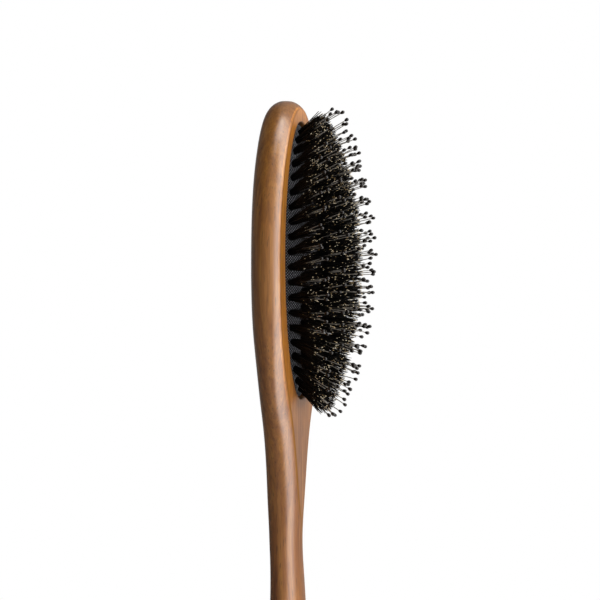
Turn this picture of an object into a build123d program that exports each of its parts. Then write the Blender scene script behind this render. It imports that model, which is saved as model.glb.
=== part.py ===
from build123d import *
import math
import os

os.makedirs("parts", exist_ok=True)

# ---------------------------------------------------------------------------
# Oval cushion brush: one-piece wooden head and handle, a domed air cushion of
# rubber bonded to woven cloth, and tufts of bristle, each with a folded nylon
# pin that carries two ball tips and is held behind the cushion by a wire anchor.
#
# Frame: origin at the butt of the handle, on the handle's axis.
# +Z runs up the handle to the head, -Y is the bristle side, X is the width.
# All sizes are in millimetres, all angles in degrees unless noted.
# ---------------------------------------------------------------------------

# wooden body
overall_length = 238.0
face_y = -5.5            # plane of the flat, planed front of head and neck
flat_from_z = 70.0       # the planed front starts here, above the handle
flat_to_z = overall_length + 10   # the planing cut runs out past the crown
flat_cut_width = 90
flat_cut_depth = 20

# (z, half width, half depth, centre y) of each oval cross-section
body_sections = [
    (0.25, 3.0, 1.7, 0.0),
    (1.0, 5.4, 3.0, 0.0),
    (2.5, 7.9, 4.35, 0.0),
    (5.0, 10.0, 5.45, 0.0),
    (9.0, 11.8, 6.35, 0.0),
    (15.0, 12.9, 6.9, 0.0),
    (22.0, 13.1, 7.05, 0.0),
    (30.0, 12.7, 6.95, 0.0),
    (38.5, 11.95, 6.7, 0.0),
    (47.5, 11.1, 6.35, 0.05),
    (56.0, 10.4, 6.1, 0.25),
    (64.0, 9.9, 5.95, 0.6),
    (72.0, 9.7, 6.05, 0.85),
    (80.0, 10.1, 6.4, 0.85),
    (88.0, 11.2, 6.8, 0.75),
    (96.0, 12.8, 7.1, 0.6),
    (104.0, 14.7, 7.45, 0.5),
    (111.0, 16.9, 7.85, 0.4),
    (117.5, 20.0, 8.2, 0.35),
    (122.5, 22.9, 8.5, 0.25),
    (128.0, 25.7, 8.85, 0.1),
    (134.5, 28.3, 9.4, -0.1),
    (142.0, 30.6, 10.15, -0.3),
    (151.0, 32.5, 10.95, -0.42),
    (161.0, 33.6, 11.45, -0.5),
    (172.0, 34.0, 11.6, -0.5),
    (183.0, 33.7, 11.62, -0.5),
    (193.0, 32.6, 11.6, -0.48),
    (202.0, 30.6, 11.45, -0.42),
    (210.0, 28.0, 11.1, -0.32),
    (217.0, 25.0, 10.5, -0.18),
    (223.1, 21.6, 9.75, 0.0),
    (227.5, 18.4, 9.0, 0.2),
    (231.0, 15.2, 8.1, 0.35),
    (233.6, 12.1, 7.0, 0.5),
    (235.6, 9.0, 5.6, 0.58),
    (236.9, 6.2, 4.1, 0.6),
    (237.75, 3.2, 2.1, 0.6),
]

# pocket for the cushion
cushion_z = 177.1        # centre of the oval pocket
pocket_half_l = 52.8
pocket_half_w = 23.6
pocket_depth = 10.2
groove_top = 3.1         # undercut groove for the cushion's flange, below the face
groove_height = 1.8
groove_depth = 1.3

# air cushion
pad_gap = 1.0            # between the skirt and the pocket wall
pad_half_l = pocket_half_l - pad_gap
pad_half_w = pocket_half_w - pad_gap
dome_height = 6.4        # above the wooden face
edge_below = 1.0         # the dome meets its skirt this far below the face
pad_t = 1.4              # rubber and cloth together
skirt_bottom = 3.2       # below the face
flange_t = 1.6
flange_out = 1.1         # how far the flange stands into the groove
block_above = 20         # uncut height of the dome's block above the face
vent_r = 0.7
vent_z = cushion_z - 39.2
hole_cut_length = 12     # of the cutters for the tuft holes and the vent

# bristle bundles; depths and heights are measured from the cushion's surface
tuft_hole_r = 1.5
tuft_base_r = 1.3
tuft_tip_r = 2.45
tuft_bore_base_r = 1.0
tuft_bore_tip_r = 1.5
tuft_share = 0.77        # bristle length as a share of the pin length
shank = 3.9              # depth of the folded tuft
flare_from = 0.4         # height where the bundle starts to widen
cross_hole_r = 0.4

# folded pins
pin_r = 0.24
fold_r = 0.5
fold_z = -2.9            # centre of the pin's fold
pin_splay = 1.6          # how far each leg leans away from the tuft's axis
leg_difference = 1.2     # the two legs of a folded pin aren't quite equal

# ball tips
ball_r = 0.68
ball_front = ball_r      # from the ball's centre to its outer end
ball_back = 1.0          # from the ball's centre to its socket end
taper_back_r = 0.34
taper_front_r = 0.61
taper_from = 0.3         # the taper starts this far behind the ball's centre
socket_depth = 0.95
socket_gap_r = 0.01      # clearance around the filament
socket_gap_end = 0.02    # clearance past the filament's end

# wire anchors
anchor_r = 0.2
anchor_len = 3.6

# (name, half length, half width, number of tufts, starting turn as a share of one pitch)
rings = [
    ("outer_ring", 48.8, 20.0, 40, 0.5),
    ("second_ring", 42.4, 13.4, 32, 0.0),
    ("third_ring", 35.9, 6.8, 26, 0.5),
]
centre_row_half = 28.8
centre_row_count = 10

# fan of the tufts: each lean is rate * distance - bend * distance squared
side_rate, side_bend = 2.25, 0.0200
upper_rate, upper_bend = 0.76, 0.0048
lower_rate, lower_bend = 0.80, 0.0065
upright_z = cushion_z - 13.1      # tufts here have no lengthways lean

# pin lengths
pin_length_mid = 21.5
pin_drop_upper = 3.6     # how much shorter the pins are at each end of the outer ring
pin_drop_lower = 3.4
ring_half_l = rings[0][1]


# ---------------------------------------------------------------------------
# geometry of the dome and of the fan of tufts
# ---------------------------------------------------------------------------
dome_rise = dome_height + edge_below
dome_minor = (pad_half_w**2 + dome_rise**2) / (2 * dome_rise)          # radius across
dome_major = (pad_half_l**2 + dome_rise**2) / (2 * dome_rise) - dome_minor
dome_centre_y = face_y - dome_height + dome_major + dome_minor


def surface_y(x, z):
    """The cushion's outer face: part of a torus, round in both directions."""
    reach = dome_major + math.sqrt(dome_minor**2 - x * x)
    return dome_centre_y - math.sqrt(reach**2 - (z - cushion_z) ** 2)


def lean_x(x):
    """Sideways lean of a tuft, in degrees."""
    return side_rate * x - side_bend * x * abs(x)


def lean_z(z):
    """Lengthways lean of a tuft, in degrees."""
    above = z - upright_z
    rate, bend = (upper_rate, upper_bend) if above > 0 else (lower_rate, lower_bend)
    return rate * above - bend * above * above


def pin_length(z):
    """Pins get shorter towards both ends, in half-millimetre steps."""
    share = (z - cushion_z) / ring_half_l
    drop = (pin_drop_upper if share > 0 else pin_drop_lower) * share * share
    return round((pin_length_mid - drop) * 2.0) / 2.0


def tuft_at(x, z, index):
    """(plane of the tuft, pin length). Local Z runs along the tuft; local X points
    away from the middle of the cushion for odd tufts, towards it for even ones."""
    along = Vector(
        math.tan(math.radians(lean_x(x))), -1.0, math.tan(math.radians(lean_z(z)))
    ).normalized()
    out = Vector(x / pad_half_w, 0, (z - cushion_z) / pad_half_l)
    if out.length < 0.05:    # too near the middle to have a direction of its own
        out = Vector(1, 0, 0)
    side = along.cross(out).normalized()
    flip = 1 if index % 2 else -1
    out = side.cross(along).normalized() * flip
    return Plane(origin=(x, surface_y(x, z), z), x_dir=out, z_dir=along), pin_length(z)


def oval_points(half_l, half_w, count, start):
    """Points (x, z) evenly spaced by arc length around an oval, from its top."""
    steps = 4000
    xs = [half_w * math.sin(2 * math.pi * i / steps) for i in range(steps + 1)]
    zs = [half_l * math.cos(2 * math.pi * i / steps) for i in range(steps + 1)]
    run = [0.0]
    for i in range(steps):
        run.append(run[-1] + math.hypot(xs[i + 1] - xs[i], zs[i + 1] - zs[i]))
    points, i = [], 0
    for k in range(count):
        want = run[-1] * (k + start) / count
        while run[i + 1] < want:
            i += 1
        t = (want - run[i]) / (run[i + 1] - run[i])
        x = xs[i] + t * (xs[i + 1] - xs[i])
        z = cushion_z + zs[i] + t * (zs[i + 1] - zs[i])
        points.append((x, z))
    return points


def row_points():
    """Points (x, z) of the straight row up the middle, from its lower end."""
    return [
        (0.0, cushion_z - centre_row_half + 2 * centre_row_half * k / (centre_row_count - 1))
        for k in range(centre_row_count)
    ]


tuft_points = {name: oval_points(*layout) for name, *layout in rings}
tuft_points["centre_row"] = row_points()
tufts = {
    name: [tuft_at(x, z, k) for k, (x, z) in enumerate(points)]
    for name, points in tuft_points.items()
}
all_tufts = [tuft for members in tufts.values() for tuft in members]


def save(part, name):
    part.label = name
    export_step(part, f"parts/{name}.step")


# ---------------------------------------------------------------------------
# wooden body: an oval section lofted from butt to crown, planed flat in front
# of the head and neck, with the oval pocket and its undercut groove
# ---------------------------------------------------------------------------
def wood_body():
    with BuildPart() as body:
        for z, half_width, half_depth, centre_y in body_sections:
            with BuildSketch(Plane.XY.offset(z)):
                with Locations((0, centre_y)):
                    Ellipse(half_width, half_depth)
        loft()
        # planed front
        with BuildSketch(Plane.XZ.offset(-face_y)):
            with Locations((0, (flat_from_z + flat_to_z) / 2)):
                Rectangle(flat_cut_width, flat_to_z - flat_from_z)
        extrude(amount=flat_cut_depth, mode=Mode.SUBTRACT)
        # pocket
        with BuildSketch(Plane.XZ.offset(-face_y)):
            with Locations((0, cushion_z)):
                Ellipse(pocket_half_w, pocket_half_l)
        extrude(amount=-pocket_depth, mode=Mode.SUBTRACT)
        # undercut groove
        with BuildSketch(Plane.XZ.offset(-face_y - groove_top)):
            with Locations((0, cushion_z)):
                Ellipse(pocket_half_w + groove_depth, pocket_half_l + groove_depth)
        extrude(amount=-groove_height, mode=Mode.SUBTRACT)
    return body.part


# ---------------------------------------------------------------------------
# cushion: domed membrane with a skirt, and a flange that snaps into the groove
# ---------------------------------------------------------------------------
def dome_block(inset):
    """Oval block under the dome, inset evenly from the cushion's outside."""
    with BuildPart() as block:
        with BuildSketch(Plane.XZ.offset(-face_y + block_above)):
            with Locations((0, cushion_z)):
                Ellipse(pad_half_w - inset, pad_half_l - inset)
        extrude(amount=-(block_above + skirt_bottom + flange_t))
        with Locations(Location((0, dome_centre_y, cushion_z), (0, 90, 0))):
            Torus(dome_major, dome_minor - inset, mode=Mode.INTERSECT)
    return block.part


def cushion_pad():
    dome_outside = dome_block(0.0)
    dome_inside = dome_block(pad_t)
    vent_plane = Plane(
        origin=(0, surface_y(0, vent_z), vent_z), x_dir=(1, 0, 0), z_dir=(0, -1, 0)
    )
    with BuildPart() as pad:
        add(dome_outside)
        # flange
        with BuildSketch(Plane.XZ.offset(-face_y - skirt_bottom)):
            with Locations((0, cushion_z)):
                Ellipse(pocket_half_w + flange_out, pocket_half_l + flange_out)
        extrude(amount=-flange_t)
        add(dome_inside, mode=Mode.SUBTRACT)
        # one hole for each tuft
        with Locations(*[Location(plane) for plane, _ in all_tufts]):
            Cylinder(tuft_hole_r, hole_cut_length, mode=Mode.SUBTRACT)
        # air vent
        with Locations(Location(vent_plane)):
            Cylinder(vent_r, hole_cut_length, mode=Mode.SUBTRACT)
    return pad.part


# ---------------------------------------------------------------------------
# one tuft's pieces, in the tuft's own frame: Z along the tuft from the
# cushion's surface, X across the two legs of the pin, Y along the anchor
# ---------------------------------------------------------------------------
splay = math.radians(pin_splay)
# where the fold's arc meets a straight leg
leg_foot_x = fold_r * math.cos(splay)
leg_foot_z = fold_z - fold_r * math.sin(splay)


def bristle_tuft(length):
    """A flared bundle of bristles, open down its middle for the pin, with the
    cross-hole that its wire anchor passes through."""
    top = length * tuft_share
    with BuildPart() as bundle:
        with BuildSketch(Plane.XZ):
            with BuildLine():
                Polyline(
                    (tuft_bore_base_r, -shank),
                    (tuft_base_r, -shank),
                    (tuft_base_r, flare_from),
                    (tuft_tip_r, top),
                    (tuft_bore_tip_r, top),
                    (tuft_bore_base_r, flare_from),
                    close=True,
                )
            make_face()
        revolve(axis=Axis.Z, revolution_arc=360)
        with Locations(Location((0, 0, fold_z), (90, 0, 0))):
            Cylinder(cross_hole_r, 4 * tuft_base_r, mode=Mode.SUBTRACT)
    return bundle.part


def leg_point(height, side):
    """The (x, z) point on a leg's centre line at a height above the cushion."""
    return side * (leg_foot_x + (height - leg_foot_z) * math.tan(splay)), height


def folded_pin(length):
    """A nylon filament folded round the anchor, its legs leaning slightly apart."""
    long_height = length - ball_front - ball_back + socket_depth - socket_gap_end
    long_end = leg_point(long_height, 1)
    short_end = leg_point(long_height - leg_difference, -1)
    long_foot = (leg_foot_x, leg_foot_z)
    short_foot = (-leg_foot_x, leg_foot_z)
    end_plane = Plane(
        origin=(long_end[0], 0, long_end[1]), z_dir=(math.sin(splay), 0, math.cos(splay))
    )
    with BuildPart() as pin:
        with BuildLine(Plane.XZ):
            Line(long_end, long_foot)
            ThreePointArc(long_foot, (0, fold_z - fold_r), short_foot)
            Line(short_foot, short_end)
        with BuildSketch(end_plane):
            Circle(pin_r)
        sweep()
    return pin.part


def ball_tip():
    """An egg-shaped tip, centred on its ball, with a blind socket for the filament."""
    with BuildPart() as ball:
        Sphere(ball_r)
        with Locations((0, 0, -(ball_back + taper_from) / 2)):
            Cone(taper_back_r, taper_front_r, ball_back - taper_from)
        with Locations((0, 0, -ball_back + socket_depth / 2)):
            Cylinder(pin_r + socket_gap_r, socket_depth, mode=Mode.SUBTRACT)
    return ball.part


def anchor_wire():
    with BuildPart() as wire:
        with Locations(Location((0, 0, fold_z), (90, 0, 0))):
            Cylinder(anchor_r, anchor_len)
        fillet(wire.edges().filter_by(GeomType.CIRCLE), anchor_r * 0.5)
    return wire.part


# ---------------------------------------------------------------------------
# the pieces of each ring
# ---------------------------------------------------------------------------
def ball_places(plane, length):
    """The places of a pin's two balls on the brush."""
    places = []
    for side, end in ((1, length), (-1, length - leg_difference)):
        x, z = leg_point(end - ball_front, side)
        ball_plane = Plane(
            origin=(x, 0, z),
            x_dir=(math.cos(splay), 0, -side * math.sin(splay)),
            z_dir=(side * math.sin(splay), 0, math.cos(splay)),
        )
        places.append(Location(plane) * Location(ball_plane))
    return places


def by_length(members, piece_of):
    """(piece, places) for each pin length that occurs in a ring."""
    groups = []
    for length, piece in piece_of.items():
        places = [Location(plane) for plane, own in members if own == length]
        if places:
            groups.append((piece, places))
    return groups


def ring_part(groups):
    """One part from (piece, places) groups."""
    with BuildPart() as ring:
        for piece, places in groups:
            with Locations(*places):
                add(piece)
    return ring.part


save(wood_body(), "wood_body")
save(cushion_pad(), "cushion_pad")

lengths = sorted({length for _, length in all_tufts})
bundle_of = {length: bristle_tuft(length) for length in lengths}
pin_of = {length: folded_pin(length) for length in lengths}
one_ball = ball_tip()
one_anchor = anchor_wire()

for ring_name, members in tufts.items():
    balls = [place for plane, length in members for place in ball_places(plane, length)]
    anchors = [Location(plane) for plane, _ in members]
    save(ring_part(by_length(members, bundle_of)), ring_name + "_bristles")
    save(ring_part(by_length(members, pin_of)), ring_name + "_pins")
    save(ring_part([(one_ball, balls)]), ring_name + "_ball_tips")
    save(ring_part([(one_anchor, anchors)]), ring_name + "_anchors")
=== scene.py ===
"""A cushioned hair brush, standing upright on the end of its handle.

Z runs from the handle's end (0) to the top of the head (238 mm), X runs across the brush, and the
front with the tufts looks along -Y. Shapes are in millimetres and are scaled to metres when meshed.
Material, light and camera lengths are in metres.
"""
import math
from typing import NamedTuple

import bmesh
import bpy
import numpy as np
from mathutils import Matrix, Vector


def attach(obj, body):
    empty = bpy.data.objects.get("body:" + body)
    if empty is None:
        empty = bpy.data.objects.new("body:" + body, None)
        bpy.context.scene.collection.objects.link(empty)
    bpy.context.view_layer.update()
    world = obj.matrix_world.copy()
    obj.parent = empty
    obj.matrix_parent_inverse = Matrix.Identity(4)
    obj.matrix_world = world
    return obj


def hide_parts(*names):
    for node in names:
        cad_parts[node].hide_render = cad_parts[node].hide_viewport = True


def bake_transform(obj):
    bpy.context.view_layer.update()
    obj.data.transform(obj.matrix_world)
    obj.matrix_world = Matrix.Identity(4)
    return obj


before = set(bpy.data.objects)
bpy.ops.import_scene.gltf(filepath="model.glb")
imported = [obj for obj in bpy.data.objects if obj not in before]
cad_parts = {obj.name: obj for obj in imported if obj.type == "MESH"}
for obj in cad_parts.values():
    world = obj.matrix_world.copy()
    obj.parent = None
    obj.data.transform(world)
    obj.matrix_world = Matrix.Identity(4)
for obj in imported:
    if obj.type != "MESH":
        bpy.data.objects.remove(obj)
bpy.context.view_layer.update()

MM = 0.001
rng = np.random.default_rng(20240611)

# --------------------------------------------------------------------------
# driving dimensions
# --------------------------------------------------------------------------
LENGTH = 238.0
FACE_Y = -5.5  # the flat front of the head
CZ = 177.1  # height of the middle of pocket and cushion

# wooden body, cross-sections from the handle's end up: z, half width, half depth, centre y
SECTIONS = np.array([
    (0.25, 3.0, 1.7, 0.0), (1.0, 5.4, 3.0, 0.0), (2.5, 7.9, 4.35, 0.0), (5.0, 10.0, 5.45, 0.0),
    (9.0, 11.8, 6.35, 0.0), (15.0, 12.9, 6.9, 0.0), (22.0, 13.1, 7.05, 0.0),
    (30.0, 12.7, 6.95, 0.0), (38.5, 11.95, 6.7, 0.0), (47.5, 11.1, 6.35, 0.05),
    (56.0, 10.4, 6.1, 0.25), (64.0, 9.9, 5.95, 0.6), (72.0, 9.7, 6.05, 0.85),
    (80.0, 10.1, 6.4, 0.85), (88.0, 11.2, 6.8, 0.75), (96.0, 12.8, 7.1, 0.6),
    (104.0, 14.7, 7.45, 0.5), (111.0, 16.9, 7.85, 0.4), (117.5, 20.0, 8.2, 0.35),
    (122.5, 22.9, 8.5, 0.25), (128.0, 25.7, 8.85, 0.1), (134.5, 28.3, 9.4, -0.1),
    (142.0, 30.6, 10.15, -0.3), (151.0, 32.5, 10.95, -0.42), (161.0, 33.6, 11.45, -0.5),
    (172.0, 34.0, 11.6, -0.5), (183.0, 33.7, 11.62, -0.5), (193.0, 32.6, 11.6, -0.48),
    (202.0, 30.6, 11.45, -0.42), (210.0, 28.0, 11.1, -0.32), (217.0, 25.0, 10.5, -0.18),
    (223.1, 21.6, 9.75, 0.0), (227.5, 18.4, 9.0, 0.2), (231.0, 15.2, 8.1, 0.35),
    (233.6, 12.1, 7.0, 0.5), (235.6, 9.0, 5.6, 0.58), (236.9, 6.2, 4.1, 0.6),
    (237.75, 3.2, 2.1, 0.6)])

# oval pocket and cushion, as half lengths and half widths
POCKET_L, POCKET_W, POCKET_DEPTH = 52.8, 23.6, 10.2
PAD_GAP = 1.0
PAD_L, PAD_W = POCKET_L - PAD_GAP, POCKET_W - PAD_GAP
PAD_WALL = 1.4
DOME = 6.4  # how far the cushion stands out of the face
EDGE = 1.0  # how far its edge lies behind the face
RISE = DOME + EDGE

# the cushion's outer surface is a patch of a torus, its arcs fitted to the width and the length
ARC_R = (PAD_W**2 + RISE**2) / (2 * RISE)
SWEEP_R = (PAD_L**2 + RISE**2) / (2 * RISE) - ARC_R
SWEEP_Y = FACE_Y - DOME + SWEEP_R + ARC_R

# oval rings of tufts: name, half length, half width, number of tufts, start in tuft steps
OUTER_L = 48.8
RINGS = [("outer_ring", OUTER_L, 20.0, 40, 0.5),
         ("second_ring", 42.4, 13.4, 32, 0.0),
         ("third_ring", 35.9, 6.8, 26, 0.5)]
CENTRE_ROW_L, CENTRE_ROW_COUNT = 57.6, 10
PIN_LENGTH = 21.5  # at the middle of the cushion
PIN_DROP_TOP, PIN_DROP_BOTTOM = 3.6, 3.4  # how much shorter at the ends of the outer ring
UPRIGHT_Z = CZ - 13.1  # tufts at this height lean neither up nor down


# --------------------------------------------------------------------------
# where the tufts stand
# --------------------------------------------------------------------------
class Tuft(NamedTuple):
    base: np.ndarray
    out: np.ndarray  # unit vectors: out and side lie across the tuft, axis runs along it
    side: np.ndarray
    axis: np.ndarray
    pin_length: float


def surface_y(x, z, inset=0.0):
    """y of the cushion's outer surface, or of the one lying inset behind it."""
    reach = SWEEP_R + np.sqrt((ARC_R - inset) ** 2 - x * x)
    return SWEEP_Y - np.sqrt(reach**2 - (z - CZ) ** 2)


def lean_x(x):
    """Sideways lean in degrees."""
    return 2.25 * x - 0.02 * x * abs(x)


def lean_z(z):
    """Lengthways lean in degrees."""
    d = z - UPRIGHT_Z
    return 0.76 * d - 0.0048 * d * d if d > 0 else 0.80 * d - 0.0065 * d * d


def pin_length(z):
    d = (z - CZ) / OUTER_L
    return PIN_LENGTH - (PIN_DROP_TOP * d * d if d > 0 else PIN_DROP_BOTTOM * d * d)


def oval_points(half_l, half_w, count, start):
    """Points (x, z) evenly spaced along an oval."""
    angle = np.linspace(0, 2 * math.pi, 4001)
    xs, zs = half_w * np.sin(angle), half_l * np.cos(angle)
    run = np.concatenate([[0], np.cumsum(np.hypot(np.diff(xs), np.diff(zs)))])
    want = run[-1] * (np.arange(count) + start) / count
    return zip(np.interp(want, run, xs), CZ + np.interp(want, run, zs))


def make_tuft(x, z):
    tan_x, tan_z = (math.tan(math.radians(lean)) for lean in (lean_x(x), lean_z(z)))
    axis = Vector((tan_x, -1.0, tan_z)).normalized()
    out = Vector((x / PAD_W, 0, (z - CZ) / PAD_L))
    if out.length < 0.05:  # too near the middle to give a direction
        out = Vector((1, 0, 0))
    side = axis.cross(out).normalized()
    out = side.cross(axis).normalized()
    base = np.array((x, float(surface_y(x, z)), z))
    return Tuft(base, np.array(out), np.array(side), np.array(axis), pin_length(z))


tufts = {name: [make_tuft(x, z) for x, z in oval_points(*oval)] for name, *oval in RINGS}
tufts["centre_row"] = [
    make_tuft(0.0, CZ - CENTRE_ROW_L / 2 + CENTRE_ROW_L * i / (CENTRE_ROW_COUNT - 1))
    for i in range(CENTRE_ROW_COUNT)]


# --------------------------------------------------------------------------
# mesh helpers
# --------------------------------------------------------------------------
def make_object(name, verts_mm, faces, smooth=True):
    """A mesh object from points in mm, its faces turned outwards."""
    mesh = bpy.data.meshes.new(name)
    mesh.from_pydata((np.asarray(verts_mm, float) * MM).tolist(), [], faces)
    mesh.update()
    if smooth:
        mesh.polygons.foreach_set("use_smooth", [True] * len(mesh.polygons))
    obj = bpy.data.objects.new(name, mesh)
    bpy.context.scene.collection.objects.link(obj)
    bm = bmesh.new()
    bm.from_mesh(mesh)
    bmesh.ops.recalc_face_normals(bm, faces=bm.faces)
    bm.to_mesh(mesh)
    bm.free()
    mesh.update()
    return obj


def point_attribute(obj, name, values):
    attribute = obj.data.attributes.new(name, "FLOAT", "POINT")
    attribute.data.foreach_set("value", np.asarray(values, np.float32))


def circle_angles(count):
    return np.arange(count) * 2 * math.pi / count


def oval(half_w, half_l, count):
    """x and z of an oval around the cushion's middle."""
    angle = circle_angles(count)
    return half_w * np.sin(angle), CZ + half_l * np.cos(angle)


def make_row(x, y, z):
    """A row of points, from arrays or single numbers."""
    return np.stack(np.broadcast_arrays(x, y, z), 1)


def ring_faces(rows, cols):
    """Quads between rows of points, each row a closed loop."""
    i, j = np.meshgrid(np.arange(rows - 1), np.arange(cols), indexing="ij")
    n = (j + 1) % cols
    corners = [i * cols + j, i * cols + n, (i + 1) * cols + n, (i + 1) * cols + j]
    return np.stack(corners, -1).reshape(-1, 4)


def closed_parts(rows, cols, start_point, end_point):
    """Faces of closed rows in three parts: quads, fan to start_point, fan to end_point."""
    j = np.arange(cols)
    n = (j + 1) % cols
    last = (rows - 1) * cols
    start_fan = np.stack([n, j, np.full(cols, start_point)], 1)
    end_fan = np.stack([last + j, last + n, np.full(cols, end_point)], 1)
    return ring_faces(rows, cols), start_fan, end_fan


def loft(name, rows, start_point, end_point):
    """A skin over rows of points, closed at both ends by a point."""
    rows = np.array(rows)
    count, cols = rows.shape[:2]
    verts = np.concatenate([rows.reshape(-1, 3), [start_point], [end_point]])
    faces = []
    for part in closed_parts(count, cols, count * cols, count * cols + 1):
        faces += part.tolist()
    return make_object(name, verts, faces)


def tubes(paths, radii, across_u, across_v, sides):
    """Many tubes at once, each closed by a tip point and a root point.

    paths (N,K,3), radii (N,K), across_u and across_v (N,3). Also returns the points per tube.
    """
    TIP_ROUND, ROOT_ROUND = 0.05, 0.02
    n, k, _ = paths.shape
    angle = circle_angles(sides)
    around = (across_u[:, None, None, :] * np.cos(angle)[None, None, :, None]
              + across_v[:, None, None, :] * np.sin(angle)[None, None, :, None])
    body = paths[:, :, None, :] + radii[:, :, None, None] * around
    end = paths[:, -1] - paths[:, -2]
    end /= np.linalg.norm(end, axis=1, keepdims=True)
    tip = paths[:, -1] + end * TIP_ROUND
    root = paths[:, 0] - end * ROOT_ROUND
    verts = np.concatenate([body.reshape(n, k * sides, 3), tip[:, None], root[:, None]], 1)
    per_tube = k * sides + 2
    quads, root_fan, tip_fan = closed_parts(k, sides, per_tube - 1, per_tube - 2)
    first = (np.arange(n) * per_tube)[:, None, None]
    faces = []
    for part in (quads, tip_fan, root_fan):
        faces += (part[None] + first).reshape(-1, part.shape[1]).tolist()
    return verts.reshape(-1, 3), faces, per_tube


def fade(value, start, end):
    """0 at start, rising straight to 1 at end, held beyond both."""
    return np.clip((value - start) / (end - start), 0, 1)


# --------------------------------------------------------------------------
# shader helpers
# --------------------------------------------------------------------------
def srgb(code):
    """Linear colour from a hex code."""
    channels = [int(code[i:i + 2], 16) / 255 for i in (1, 3, 5)]
    return tuple(c / 12.92 if c <= 0.04045 else ((c + 0.055) / 1.055) ** 2.4
                 for c in channels) + (1.0,)


def grey(level):
    return (level, level, level, 1.0)


def feed(tree, sockets, values):
    """Link each value that is a socket, and set the others."""
    for socket, value in zip(sockets, values):
        if isinstance(value, bpy.types.NodeSocket):
            tree.links.new(value, socket)
        else:
            socket.default_value = value


def math_node(tree, operation, *values):
    node = tree.nodes.new("ShaderNodeMath")
    node.operation = operation
    feed(tree, node.inputs, values)
    return node.outputs[0]


def map_range(tree, value, low, high, interpolation="LINEAR"):
    """0 at low, 1 at high."""
    node = tree.nodes.new("ShaderNodeMapRange")
    node.interpolation_type = interpolation
    sockets = [node.inputs[name] for name in ("Value", "From Min", "From Max")]
    feed(tree, sockets, (value, low, high))
    return node.outputs[0]


def mix_shader(tree, factor, first, second):
    node = tree.nodes.new("ShaderNodeMixShader")
    feed(tree, node.inputs, (factor, first, second))
    return node.outputs[0]


class Mat:
    """A material with its Principled shader and short ways to add nodes."""

    def __init__(self, name):
        self.name = name
        self.material = bpy.data.materials.new(name)
        self.material.use_nodes = True
        self.tree = self.material.node_tree
        self.shader = next(n for n in self.tree.nodes if n.type == "BSDF_PRINCIPLED")

    def node(self, kind):
        return self.tree.nodes.new(kind)

    def set(self, **inputs):
        """Feed inputs of the Principled shader, an underscore standing for a space."""
        sockets = [self.shader.inputs[name.replace("_", " ")] for name in inputs]
        feed(self.tree, sockets, inputs.values())

    def coords(self, along=1.0):
        """Object coordinates, with z scaled by along: below 1 it draws a texture out in z."""
        source = self.node("ShaderNodeTexCoord")
        mapping = self.node("ShaderNodeMapping")
        mapping.inputs["Scale"].default_value = (1, 1, along)
        self.tree.links.new(source.outputs["Object"], mapping.inputs["Vector"])
        return mapping.outputs["Vector"]

    def noise(self, scale, along=1.0, detail=4.0, rough=0.5, distort=0.0):
        vector = self.coords(along)
        node = self.node("ShaderNodeTexNoise")
        names = ("Vector", "Scale", "Detail", "Roughness", "Distortion")
        feed(self.tree, [node.inputs[name] for name in names],
             (vector, scale, detail, rough, distort))
        return node.outputs["Fac"]

    def ramp(self, factor, *stops):
        """Colour ramp through (position, colour) stops."""
        node = self.node("ShaderNodeValToRGB")
        elements = node.color_ramp.elements
        while len(elements) < len(stops):
            elements.new(0.5)
        for element, (position, colour) in zip(elements, stops):
            element.position = position
            element.color = colour
        self.tree.links.new(factor, node.inputs["Fac"])
        return node.outputs["Color"]

    def mix(self, blend, factor, a, b):
        node = self.node("ShaderNodeMix")
        node.data_type = "RGBA"
        node.blend_type = blend
        # inputs 6 and 7 and output 2 are the colour ones
        feed(self.tree, (node.inputs[0], node.inputs[6], node.inputs[7]), (factor, a, b))
        return node.outputs[2]

    def math(self, operation, a, b=0.0):
        return math_node(self.tree, operation, a, b)

    def lowered(self, level, mask, amount):
        """level, less amount where the mask is 1."""
        return self.math("SUBTRACT", level, self.math("MULTIPLY", mask, amount))

    def attribute(self, name):
        node = self.node("ShaderNodeAttribute")
        node.attribute_name = name
        return node.outputs["Fac"]

    def bump(self, height, strength, distance):
        node = self.node("ShaderNodeBump")
        sockets = [node.inputs[name] for name in ("Height", "Strength", "Distance")]
        feed(self.tree, sockets, (height, strength, distance))
        self.set(Normal=node.outputs["Normal"])


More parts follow.
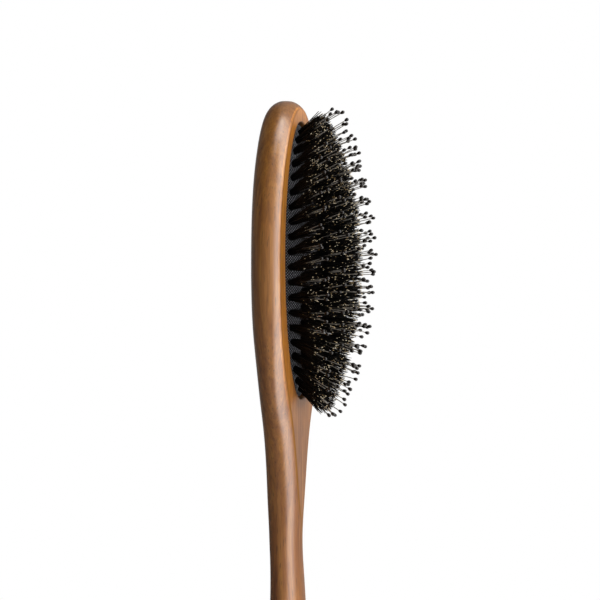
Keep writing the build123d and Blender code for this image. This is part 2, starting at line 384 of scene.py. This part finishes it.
# --------------------------------------------------------------------------
# materials
# --------------------------------------------------------------------------
def make_wood():
    """Lengthways streaks, slow mottling and short dark pores under a satin lacquer."""
    mat = Mat("lacquered_wood")
    mottle = mat.noise(42.0, along=0.18, detail=3.0, distort=0.6)
    streak = mat.noise(560.0, along=0.06, rough=0.6, distort=0.5)
    fine = mat.noise(2600.0, along=0.02, detail=2.0, rough=0.6)
    base = mat.ramp(mottle, (0.3, srgb("#552c1c")), (0.5, srgb("#7c4b1e")), (0.7, srgb("#9c692a")))
    band = mat.ramp(streak, (0.3, srgb("#5a3015")), (0.5, srgb("#82511f")), (0.72, srgb("#a37132")))
    colour = mat.mix("MIX", 0.55, base, band)
    lines = mat.ramp(fine, (0.35, grey(0.62)), (0.6, grey(1.0)))
    colour = mat.mix("MULTIPLY", 0.6, colour, lines)
    pore = mat.noise(1900.0, along=0.09, detail=1.0, rough=0.4)
    pores = mat.ramp(pore, (0.27, grey(0.35)), (0.34, grey(1.0)))
    colour = mat.mix("MULTIPLY", 0.8, colour, pores)

    # along the arris, painted shade: less lacquer and a darker golden colour; the held handle loses
    # lacquer; on the rim around the pocket, painted light
    arris_shade, rim_painted_light, held = (mat.attribute(name) for name in ("arris_shade", "rim_painted_light", "held"))
    coat = mat.math("MULTIPLY", mat.lowered(1.0, arris_shade, 0.75), mat.lowered(1.0, held, 0.45))
    # painted shade: the arris band is darkened towards golden brown where the sheen falls off the
    # edge
    colour = mat.mix("MIX", mat.math("MULTIPLY", arris_shade, 0.75), colour, srgb("#70490f"))
    # painted light: the flat rim around the pocket is lightened, standing in for light that the
    # overhanging tufts shade off
    rim_lit_colour = mat.mix("MULTIPLY", 1.0, colour, (2.4, 2.4, 2.1, 1.0))
    mat.set(Base_Color=mat.mix("MIX", rim_painted_light, colour, rim_lit_colour),
            Roughness=mat.ramp(streak, (0.3, grey(0.5)), (0.7, grey(0.4))),
            Specular_IOR_Level=mat.lowered(0.5, arris_shade, 0.4),
            Coat_Weight=coat,
            Coat_Roughness=0.24)
    relief = mat.math("ADD", mat.math("MULTIPLY", fine, 0.6), mat.math("MULTIPLY", pore, 0.6))
    mat.bump(relief, strength=0.25, distance=0.00008)
    return mat


def make_cloth():
    """Black cloth, woven in checks that alternate along x and z, with a painted sheen on the raised
    threads.
    """
    CHECK = 0.00056  # side of one check, metres
    mat = Mat("cushion_cloth")
    split = mat.node("ShaderNodeSeparateXYZ")
    feed(mat.tree, split.inputs, (mat.coords(),))
    wave_x, wave_z = (mat.math("SINE", mat.math("MULTIPLY", split.outputs[i], math.pi / CHECK))
                      for i in (0, 2))
    product = mat.math("MULTIPLY", wave_x, wave_z)
    weave = mat.math("MULTIPLY", mat.math("ADD", product, 1.0), 0.5)
    patch = mat.noise(260.0, detail=3.0)
    # dark threads, with pale grey on the raised threads as a painted sheen
    threads_and_sheen = mat.ramp(weave, (0.35, srgb("#040405")), (0.66, srgb("#1a1b1e")),
                       (0.9, srgb("#808188")))
    shade = mat.ramp(patch, (0.3, grey(0.55)), (0.7, grey(1.0)))
    mat.set(Base_Color=mat.mix("MULTIPLY", 0.6, threads_and_sheen, shade),
            Roughness=mat.ramp(weave, (0.3, grey(0.8)), (0.9, grey(0.5))),
            Sheen_Weight=0.08,
            Specular_IOR_Level=0.15)
    mat.bump(weave, strength=1.0, distance=0.0002)
    return mat


def make_bristle():
    """Black, some of the bristles with pale tips."""
    mat = Mat("bristle")
    tip, rnd = mat.attribute("tip"), mat.attribute("rnd")
    dark = mat.ramp(rnd, (0.0, srgb("#050505")), (0.6, srgb("#080808")), (1.0, srgb("#0f0d0b")))
    pale = mat.ramp(rnd, (0.0, srgb("#100d0a")), (0.74, srgb("#15100c")), (0.81, srgb("#b0946a")),
                    (0.9, srgb("#ead9b8")), (1.0, srgb("#fff2d6")))
    mat.set(Base_Color=mat.mix("MIX", tip, dark, pale), Roughness=0.5, Specular_IOR_Level=0.1)
    mat.bump(mat.noise(5000.0, detail=2.0), strength=0.2, distance=0.00002)
    return mat


def make_nylon():
    """Grey and slightly see-through."""
    mat = Mat("nylon")
    cloud = mat.noise(900.0, detail=2.0)
    mat.set(Base_Color=mat.ramp(cloud, (0.3, srgb("#645f59")), (0.7, srgb("#928c84"))),
            Roughness=0.3,
            IOR=1.53,
            Transmission_Weight=0.35)
    mat.bump(cloud, strength=0.15, distance=0.00002)
    return mat


def make_ball_tip():
    """Glossy black with a warm cast."""
    mat = Mat("ball_tip")
    cloud = mat.noise(700.0, detail=2.0)
    mat.set(Base_Color=mat.ramp(cloud, (0.3, srgb("#070605")), (0.7, srgb("#1c140f"))),
            Roughness=mat.ramp(cloud, (0.3, grey(0.18)), (0.7, grey(0.3))))
    mat.bump(cloud, strength=0.1, distance=0.00003)
    return mat


def make_steel():
    mat = Mat("anchor_wire")
    grain = mat.noise(2500.0, detail=3.0)
    mat.set(Base_Color=mat.ramp(grain, (0.3, srgb("#8d8f92")), (0.7, srgb("#c2c4c6"))),
            Metallic=1.0,
            Roughness=mat.ramp(grain, (0.3, grey(0.3)), (0.7, grey(0.45))))
    mat.bump(grain, strength=0.1, distance=0.00001)
    return mat


wood, cloth, bristle = make_wood(), make_cloth(), make_bristle()
nylon, ball_tip, steel = make_nylon(), make_ball_tip(), make_steel()


def dress(obj, mat):
    obj.data.materials.clear()
    obj.data.materials.append(mat.material)


def finish_piece(obj, mat, node, body=None):
    """Dress a piece, hide the CAD node it replaces, and let it ride a body if one is given."""
    dress(obj, mat)
    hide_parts(node)
    if body:
        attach(obj, body)


# --------------------------------------------------------------------------
# wooden body
# --------------------------------------------------------------------------
BACK_COLS, FRONT_COLS = 150, 74
LOW_END, TOP_END = 12, 16  # lengths of the closely stationed ends
FLAT_FROM = 60  # the front is cut flat above this height
# the pocket's cutter, an oval plug: depth behind the face, growth of the oval
POCKET_LIP = [(-1.2, 0.62), (-0.05, 0.62), (0.0, 0.46), (0.10, 0.26), (0.26, 0.10), (0.48, 0.0),
              (3.1, 0.0), (POCKET_DEPTH - 0.8, 0.0), (POCKET_DEPTH - 0.25, -0.25),
              (POCKET_DEPTH, -0.9)]
POCKET_COLS = 300


def monotone_cubic(x, xs, ys):
    """Cubic interpolation through the stations, with no overshoot between them."""
    h = np.diff(xs)
    d = np.diff(ys) / h
    slope = np.zeros(len(xs))
    for i in range(1, len(xs) - 1):
        w1, w2 = 2 * h[i] + h[i - 1], h[i] + 2 * h[i - 1]
        slope[i] = (w1 + w2) / (w1 / d[i - 1] + w2 / d[i]) if d[i - 1] * d[i] > 0 else 0.0
    slope[0], slope[-1] = d[0], d[-1]
    i = np.clip(np.searchsorted(xs, x) - 1, 0, len(xs) - 2)
    t = (x - xs[i]) / h[i]
    return ((2 * t**3 - 3 * t**2 + 1) * ys[i] + (t**3 - 2 * t**2 + t) * h[i] * slope[i]
            + (-2 * t**3 + 3 * t**2) * ys[i + 1] + (t**3 - t**2) * h[i] * slope[i + 1])


def smooth_1d(values, passes):
    for _ in range(passes):
        inner = 0.25 * values[:-2] + 0.5 * values[1:-1] + 0.25 * values[2:]
        values = np.concatenate([values[:1], inner, values[-1:]])
    return values


def wood_stations():
    """z, half width, half depth and centre y of many cross-sections, closest near both ends."""
    z_low, z_top = SECTIONS[0, 0], SECTIONS[-1, 0]
    low = z_low + LOW_END * (1 - np.cos(np.linspace(0, math.pi / 2, 26)))
    middle = np.linspace(z_low + LOW_END, z_top - TOP_END, 190)[1:-1]
    high = z_top - TOP_END * (1 - np.cos(np.linspace(math.pi / 2, 0, 30)))
    z = np.concatenate([low, middle, high])
    # the ends are round, so interpolate in the square root of the distance from each end
    # and pass from one to the other where the neck meets the head
    from_low = np.sqrt(SECTIONS[:, 0])
    from_top = np.sqrt(LENGTH - SECTIONS[:, 0])[::-1]
    upper_share = fade(z, 100, 138)
    upper_share = upper_share * upper_share * (3 - 2 * upper_share)
    columns = []
    for column, passes in zip(SECTIONS.T[1:], (4, 6, 8)):
        lower = monotone_cubic(np.sqrt(z), from_low, column)
        upper = monotone_cubic(np.sqrt(LENGTH - z), from_top, column[::-1])
        columns.append(smooth_1d(lower * (1 - upper_share) + upper * upper_share, passes))
    return z, *columns


def wood_row(z, half_w, half_d, centre_y):
    """One cross-section: an ellipse, flat in front on the neck and head."""
    # angle from straight ahead to where the ellipse meets the front plane
    edge = max(math.acos(min((centre_y - FACE_Y) / half_d, 1.0)), 0.42)
    # columns gather towards the two edges, in front and behind
    t = np.linspace(-1, 1, FRONT_COLS + 1)[:-1]
    front = edge * np.sin(t * math.pi / 2)
    t = np.linspace(-1, 1, BACK_COLS + 1)[:-1]
    back = math.pi + (math.pi - edge) * (0.35 * t + 0.65 * np.sin(t * math.pi / 2))
    phi = np.concatenate([front, back])
    x, y = half_w * np.sin(phi), centre_y - half_d * np.cos(phi)
    if z > FLAT_FROM:
        soft = 0.16 * fade(z, FLAT_FROM, FLAT_FROM + 14)  # rounding of the flat's edge
        y = 0.5 * (y + FACE_Y + np.sqrt((y - FACE_Y) ** 2 + soft * soft))
    return make_row(x, y, z)


def cut_pocket(obj):
    rows = []
    for depth, grow in POCKET_LIP:
        x, z = oval(POCKET_W + grow, POCKET_L + grow, POCKET_COLS)
        rows.append(make_row(x, FACE_Y + depth, z))
    count = len(rows) * POCKET_COLS
    faces = ring_faces(len(rows), POCKET_COLS).tolist()
    faces += [list(range(POCKET_COLS))[::-1], list(range(count - POCKET_COLS, count))]
    cutter = make_object("pocket_cutter", np.concatenate(rows), faces, smooth=False)
    modifier = obj.modifiers.new("pocket", "BOOLEAN")
    modifier.operation = "DIFFERENCE"
    modifier.solver = "EXACT"
    modifier.object = cutter
    bpy.context.view_layer.update()
    evaluated = obj.evaluated_get(bpy.context.evaluated_depsgraph_get())
    carved = bpy.data.meshes.new_from_object(evaluated)
    obj.modifiers.clear()
    obj.data = carved
    bpy.data.objects.remove(cutter)
    carved.polygons.foreach_set("use_smooth", [True] * len(carved.polygons))
    carved.set_sharp_from_angle(angle=math.radians(38))


def mask_wood(obj, stations):
    """Soft masks: the band of painted shade behind the front edge, the handle, the painted light on
    the rim around the pocket.
    """
    coords = np.empty(len(obj.data.vertices) * 3, np.float32)
    obj.data.vertices.foreach_get("co", coords)
    x, y, z = (coords.reshape(-1, 3) / MM).T
    half_w, half_d, centre_y = (np.interp(z, stations[0], column) for column in stations[1:])
    cut = np.clip((centre_y - FACE_Y) / half_d, -1, 1)
    edge_x = half_w * np.sqrt(1 - cut * cut)
    from_edge = np.hypot(np.abs(x) - edge_x, y - FACE_Y)
    # mask for the painted shade: a band just behind the front edge, strongest on the neck
    arris_shade_mask = fade(from_edge, 1.32, 0.22) * fade(z, 66, 76) * np.maximum(fade(z, 150, 120), 0.25)
    point_attribute(obj, "arris_shade", arris_shade_mask * (y > FACE_Y + 0.02))
    point_attribute(obj, "held", fade(z, 140, 70))
    # mask for the painted light on the flat rim next to the pocket
    flat_front = (y < FACE_Y + 0.7) & (y > FACE_Y - 0.2)
    point_attribute(obj, "rim_painted_light", flat_front * fade(z, 112, 134) * fade(from_edge, 0, 1.6))


def make_wooden_body():
    stations = wood_stations()
    centre_y = stations[3]
    obj = loft("wooden_body", [wood_row(*station) for station in zip(*stations)],
               [0, centre_y[0], 0.1], [0, centre_y[-1], LENGTH])
    cut_pocket(obj)
    mask_wood(obj, stations)
    finish_piece(obj, wood, "wood_body", "body")


make_wooden_body()

# --------------------------------------------------------------------------
# cushion: a shell with a rounded shoulder, dimpled where each tuft enters
# --------------------------------------------------------------------------
PAD_COLS = 420
DOME_ROWS, SHOULDER_ROWS, INNER_ROWS = 70, 14, 24
SHOULDER = 0.06  # share of the half size taken by the shoulder
SHOULDER_DROP = 0.55
SKIRT = (1.9, 3.0, 4.7)  # depths behind the face of the upright edge's rows
DIMPLE_DEPTH, DIMPLE_R = 0.34, 1.5
SWELL_HEIGHT, SWELL_AT, SWELL_R = 0.05, 2.6, 0.8  # the low ring around each dimple


def dome_row(share, bases):
    """A row of the outer surface, at a share of the cushion's half size."""
    x, z = oval(PAD_W * share, PAD_L * share, PAD_COLS)
    y = surface_y(x, z)
    if share > 1 - SHOULDER:
        t = (share - (1 - SHOULDER)) / SHOULDER
        y = y + SHOULDER_DROP * (1 - math.sqrt(max(0.0, 1 - t * t)))
    gap = np.hypot(x[:, None] - bases[None, :, 0], z[:, None] - bases[None, :, 2])
    y = (y + DIMPLE_DEPTH * np.exp(-((gap / DIMPLE_R) ** 2)).sum(1)
         - SWELL_HEIGHT * np.exp(-(((gap - SWELL_AT) / SWELL_R) ** 2)).sum(1))
    return make_row(x, y, z)


def make_cushion():
    bases = np.array([tuft.base for members in tufts.values() for tuft in members])
    turn = np.sin(np.linspace(0, math.pi / 2, SHOULDER_ROWS + 1))[1:]
    shares = np.concatenate([np.linspace(0.012, 1 - SHOULDER, DOME_ROWS),
                             1 - SHOULDER + SHOULDER * turn])
    rows = [dome_row(share, bases) for share in shares]
    x, z = oval(PAD_W, PAD_L, PAD_COLS)
    rows += [make_row(x, FACE_Y + depth, z) for depth in SKIRT]
    inner_w, inner_l = PAD_W - PAD_WALL, PAD_L - PAD_WALL
    x, z = oval(inner_w, inner_l, PAD_COLS)
    rows += [make_row(x, FACE_Y + depth, z) for depth in SKIRT[:0:-1]]
    for share in np.linspace(0.995, 0.03, INNER_ROWS):
        x, z = oval(inner_w * share, inner_l * share, PAD_COLS)
        rows.append(make_row(x, surface_y(x, z, PAD_WALL), z))
    pad = loft("air_cushion", rows, [0, float(surface_y(0.0, CZ)), CZ],
               [0, float(surface_y(0.0, CZ, PAD_WALL)), CZ])
    finish_piece(pad, cloth, "cushion_pad")
    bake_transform(pad)


make_cushion()

# --------------------------------------------------------------------------
# tufts: bristles, folded nylon pins and ball tips, ring by ring
# --------------------------------------------------------------------------
PER_TUFT = 88
TUFT_R = 1.02
BRISTLE_ROOT, PIN_ROOT = 2.6, 2.5  # depths below the cushion's surface
FAN_PIVOT = 1.0  # the bristles spread from this depth
BRISTLE_SIDES, PIN_SIDES, BALL_SIDES = 4, 7, 14
# rings along a bristle, as shares of its run: the tip colour starts between the close pair
KNOTS = np.array([0.0, 0.33, 0.66, 0.971, 0.976, 1.0])
TIP_KNOT = 4
TAPER = np.array([1, 1, 0.98, 0.92, 0.86, 0.80])
STRAY_SHARE, STRAY_BEND = 0.035, 3.2
PIN_R, PIN_KNOTS = 0.18, 9
BALL_R, BALL_AHEAD = 0.68, 0.35  # the ball's centre lies ahead of the filament's end
# ball tip, root to tip: place along the pin from the ball's centre, radius
BALL = [(-1.0, 0.30), (-0.82, 0.42), (-0.55, 0.55), (-0.25, 0.645), (0.05, BALL_R), (0.32, 0.60),
        (0.53, 0.43), (0.66, 0.20)]
BALL_TOP, BALL_BOTTOM = 0.70, -1.02


def tuft_bristles(tuft):
    """Paths, radii, both across directions and a random number for each bristle of a tuft."""
    n, z = PER_TUFT, tuft.base[2]
    r = TUFT_R * np.sqrt(rng.uniform(0, 1, n))
    angle = rng.uniform(0, 2 * math.pi, n)
    foot_u, foot_v = r * np.cos(angle), r * np.sin(angle)
    # lengths vary less near the top of the cushion
    end_share = min(1.0, abs((z - CZ) / OUTER_L)) ** 2
    spread = 0.32 - (0.12 if z > CZ else 0.0) * end_share
    length = tuft.pin_length * (0.44 + spread * rng.uniform(0, 1, n) ** 0.55)
    fan = 0.115 + 0.02 * rng.normal(size=n)
    slope_u = foot_u * fan + 0.026 * rng.normal(size=n)
    slope_v = foot_v * fan + 0.034 * rng.normal(size=n)
    bend_u = 0.55 * rng.normal(size=n)
    bend_v = 0.65 * rng.normal(size=n)
    stray = rng.uniform(0, 1, n) < STRAY_SHARE
    bend_u[stray] *= STRAY_BEND
    bend_v[stray] *= STRAY_BEND
    t = KNOTS[None, :, None]
    along = -BRISTLE_ROOT + (length[:, None, None] + BRISTLE_ROOT) * t
    u, v = (foot[:, None, None] + slope[:, None, None] * (along + FAN_PIVOT)
            + bend[:, None, None] * t**2
            for foot, slope, bend in ((foot_u, slope_u, bend_u), (foot_v, slope_v, bend_v)))
    paths = tuft.base + u * tuft.out + v * tuft.side + along * tuft.axis
    radii = rng.uniform(0.10, 0.13, n)[:, None] * TAPER[None]
    turn = rng.uniform(0, math.pi, n)
    cos, sin = np.cos(turn)[:, None], np.sin(turn)[:, None]
    return (paths, radii, cos * tuft.out + sin * tuft.side, -sin * tuft.out + cos * tuft.side,
            rng.uniform(0, 1, n))


def ball_points(path, across):
    """Points of the ball at the end of a filament: its rings, then its tip and root points."""
    d = path[-1] - path[-2]
    d /= np.linalg.norm(d)
    u = np.cross(d, across)
    u /= np.linalg.norm(u)
    v = np.cross(d, u)
    centre = path[-1] + d * BALL_AHEAD
    size = rng.uniform(0.94, 1.07)
    fat = rng.uniform(0.92, 1.03)
    angle = circle_angles(BALL_SIDES)
    around = np.cos(angle)[:, None] * u + np.sin(angle)[:, None] * v
    rings = [centre + d * along * size + around * r * size * fat for along, r in BALL]
    ends = [centre + d * along * size for along in (BALL_TOP, BALL_BOTTOM)]
    return np.concatenate(rings + [ends])


def tuft_pin(tuft):
    """The folded pin: (path, across, across) of its two filaments, and the points of their balls."""
    turn = rng.uniform(-1.3, 1.3)
    side = math.cos(turn) * tuft.out + math.sin(turn) * tuft.side
    other = -math.sin(turn) * tuft.out + math.cos(turn) * tuft.side
    long = tuft.pin_length + rng.uniform(-0.5, 0.4)
    lengths = [long, long - rng.uniform(0.5, 2.3)]
    if rng.uniform() < 0.5:
        lengths = lengths[::-1]
    apart = rng.uniform(0.3, 1.35)
    if abs(lengths[0] - lengths[1]) < 1.6:  # keep balls at like heights clear of each other
        apart = max(apart, 0.55)
    sway = rng.normal(0, 0.5, 2)
    filaments, balls = [], []
    t = np.linspace(0, 1, PIN_KNOTS)
    for sign, length in zip((1, -1), lengths):
        stop = length - BALL_R - BALL_AHEAD
        along = -PIN_ROOT + (stop + PIN_ROOT) * t
        offset = sign * (0.28 + apart * t**1.8)
        path = (tuft.base + (offset + sway[0] * t**2)[:, None] * side
                + (sway[1] * t**2)[:, None] * other + along[:, None] * tuft.axis)
        filaments.append((path, side, other))
        balls.append(ball_points(path, other))
    return filaments, balls


def make_bristles(name, bristles):
    paths, radii, across_u, across_v, rnd = (np.concatenate(part) for part in zip(*bristles))
    verts, faces, per_tube = tubes(paths, radii, across_u, across_v, BRISTLE_SIDES)
    obj = make_object(name + "_tufts", verts, faces)
    tip = np.zeros((len(paths), per_tube), np.float32)
    tip[:, TIP_KNOT * BRISTLE_SIDES:len(KNOTS) * BRISTLE_SIDES] = 1.0
    tip[:, -2] = 1.0  # the point that closes the tip
    point_attribute(obj, "tip", tip.ravel())
    point_attribute(obj, "rnd", np.repeat(rnd, per_tube))
    finish_piece(obj, bristle, name + "_bristles", name)


def make_pins(name, filaments):
    paths, across_u, across_v = (np.array(part) for part in zip(*filaments))
    radii = np.full(paths.shape[:2], PIN_R)
    verts, faces, _ = tubes(paths, radii, across_u, across_v, PIN_SIDES)
    finish_piece(make_object(name + "_nylon_pins", verts, faces), nylon, name + "_pins", name)


def make_balls(name, balls):
    ring_points = len(BALL) * BALL_SIDES
    quads, root_fan, tip_fan = closed_parts(len(BALL), BALL_SIDES, ring_points + 1, ring_points)
    faces = []
    for i in range(len(balls)):
        for part in (quads, tip_fan, root_fan):
            faces += (part + i * (ring_points + 2)).tolist()
    obj = make_object(name + "_beads", np.concatenate(balls), faces)
    finish_piece(obj, ball_tip, name + "_ball_tips", name)


for name, members in tufts.items():
    bristles, filaments, balls = [], [], []
    for tuft in members:
        bristles.append(tuft_bristles(tuft))
        pair, pair_balls = tuft_pin(tuft)
        filaments += pair
        balls += pair_balls
    make_bristles(name, bristles)
    make_pins(name, filaments)
    make_balls(name, balls)
    dress(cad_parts[name + "_anchors"], steel)


# --------------------------------------------------------------------------
# floor
# --------------------------------------------------------------------------
def make_floor():
    """A matt disc that fades to white with distance and is missing from reflections."""
    bpy.ops.mesh.primitive_circle_add(vertices=96, radius=2.5, fill_type="NGON",
                                      location=(0, 0, -0.0002))
    floor = bpy.context.object
    floor.name = "floor"
    mat = Mat("floor")
    mat.set(Base_Color=grey(0.86), Roughness=0.9)
    distance = mat.node("ShaderNodeCameraData").outputs["View Distance"]
    far = map_range(mat.tree, distance, low=0.95, high=1.12)
    white = mat.node("ShaderNodeEmission")
    white.inputs["Color"].default_value = grey(1.0)
    clear = mat.node("ShaderNodeBsdfTransparent")
    glossy_ray = mat.node("ShaderNodeLightPath").outputs["Is Glossy Ray"]
    seen = mix_shader(mat.tree, far, mat.shader.outputs[0], white.outputs[0])
    surface = mix_shader(mat.tree, glossy_ray, seen, clear.outputs[0])
    output = next(n for n in mat.tree.nodes if n.type == "OUTPUT_MATERIAL")
    mat.tree.links.new(surface, output.inputs["Surface"])
    floor.data.materials.append(mat.material)


make_floor()

# --------------------------------------------------------------------------
# world, lights and camera
# --------------------------------------------------------------------------
CAMERA_BEARING = 15  # degrees from -X towards -Y
TARGET = Vector((1.178, -4.39, 162.06)) * MM
CAMERA_DISTANCE = 0.9
VIEW_WIDTH = 0.2290  # width seen at the target
SENSOR_WIDTH = 36.0


def make_world():
    """White to the camera, dim for lighting, and soft panels of light in reflections."""
    world = bpy.data.worlds.new("studio")
    bpy.context.scene.world = world
    world.use_nodes = True
    tree = world.node_tree

    def calc(operation, a, b=0.0):
        """A math node, its spare third input at 0."""
        return math_node(tree, operation, a, b, 0.0)

    def background(node, colour, strength):
        feed(tree, (node.inputs["Color"], node.inputs["Strength"]), (colour, strength))
        return node.outputs[0]

    direction = tree.nodes.new("ShaderNodeTexCoord").outputs["Generated"]
    split = tree.nodes.new("ShaderNodeSeparateXYZ")
    tree.links.new(direction, split.inputs[0])
    x, y = split.outputs[0], split.outputs[1]
    flat = calc("SQRT", calc("ADD", calc("MULTIPLY", x, x), calc("MULTIPLY", y, y)))

    def panel(deg_right, low, high):
        """Light deg_right of the camera at any height, rising as a ray's cosine to it grows."""
        a = math.radians(CAMERA_BEARING + deg_right)
        dot = calc("ADD", calc("MULTIPLY", x, -math.cos(a)), calc("MULTIPLY", y, -math.sin(a)))
        return map_range(tree, calc("DIVIDE", dot, flat), low, high, "SMOOTHSTEP")

    wall = calc("MULTIPLY", panel(125, low=0.02, high=0.46), panel(10, low=-0.02, high=0.20))
    faint = panel(15, low=0.1, high=0.8)
    behind = panel(150, low=0.5, high=0.95)
    # brightness of each panel, over an even base level
    level = calc("ADD", calc("MULTIPLY", wall, 4.9), calc("MULTIPLY", faint, 0.2))
    level = calc("ADD", level, calc("MULTIPLY", behind, 0.3))
    level = calc("ADD", level, 0.04)

    ambient = background(tree.nodes["Background"], (0.93, 0.96, 1.0, 1.0), 0.11)
    white = background(tree.nodes.new("ShaderNodeBackground"), grey(1.0), 1.0)
    gloss = background(tree.nodes.new("ShaderNodeBackground"), (1.0, 0.985, 0.97, 1.0), level)
    path = tree.nodes.new("ShaderNodeLightPath")
    lit = mix_shader(tree, path.outputs["Is Glossy Ray"], ambient, gloss)
    surface = mix_shader(tree, path.outputs["Is Camera Ray"], lit, white)
    tree.links.new(surface, tree.nodes["World Output"].inputs["Surface"])


def compass(deg_right, up):
    """A direction from the object: deg_right of the camera, up degrees above level."""
    a = math.radians(CAMERA_BEARING + deg_right)
    e = math.radians(up)
    return Vector((-math.cos(a) * math.cos(e), -math.sin(a) * math.cos(e), math.sin(e)))


def place(name, data, direction, distance):
    """Stand a light or camera off from the target, looking at it."""
    obj = bpy.data.objects.new(name, data)
    obj.location = TARGET + direction * distance
    obj.rotation_euler = (-direction).to_track_quat("-Z", "Y").to_euler()
    bpy.context.scene.collection.objects.link(obj)
    return obj


def area(name, deg_right, up, distance, size, power, colour=(1, 1, 1), reflected=False):
    light = bpy.data.lights.new(name, "AREA")
    light.shape = "RECTANGLE"
    light.size, light.size_y = size
    light.energy = power
    light.color = colour
    obj = place(name, light, compass(deg_right, up).normalized(), distance)
    obj.visible_glossy = reflected


def make_camera():
    camera = bpy.data.cameras.new("camera")
    camera.sensor_width = SENSOR_WIDTH
    camera.lens = SENSOR_WIDTH * CAMERA_DISTANCE / VIEW_WIDTH
    camera.clip_start = 0.01
    bpy.context.scene.camera = place("camera", camera, compass(0, 0), CAMERA_DISTANCE)


make_world()
area("key", deg_right=82, up=10, distance=1.1, size=(1.2, 1.0), power=15.0,
     colour=(1.0, 0.985, 0.96))
area("top", deg_right=30, up=68, distance=1.1, size=(0.6, 0.5), power=3.0, reflected=True)
area("front", deg_right=26, up=16, distance=1.3, size=(1.0, 1.2), power=12.0,
     colour=(1.0, 0.99, 0.96))
area("left_fill", deg_right=-148, up=25, distance=1.4, size=(0.9, 0.9), power=7.0)
area("back", deg_right=170, up=25, distance=1.4, size=(0.8, 0.8), power=3.0)
make_camera()
bpy.context.scene.view_settings.view_transform = "Standard"
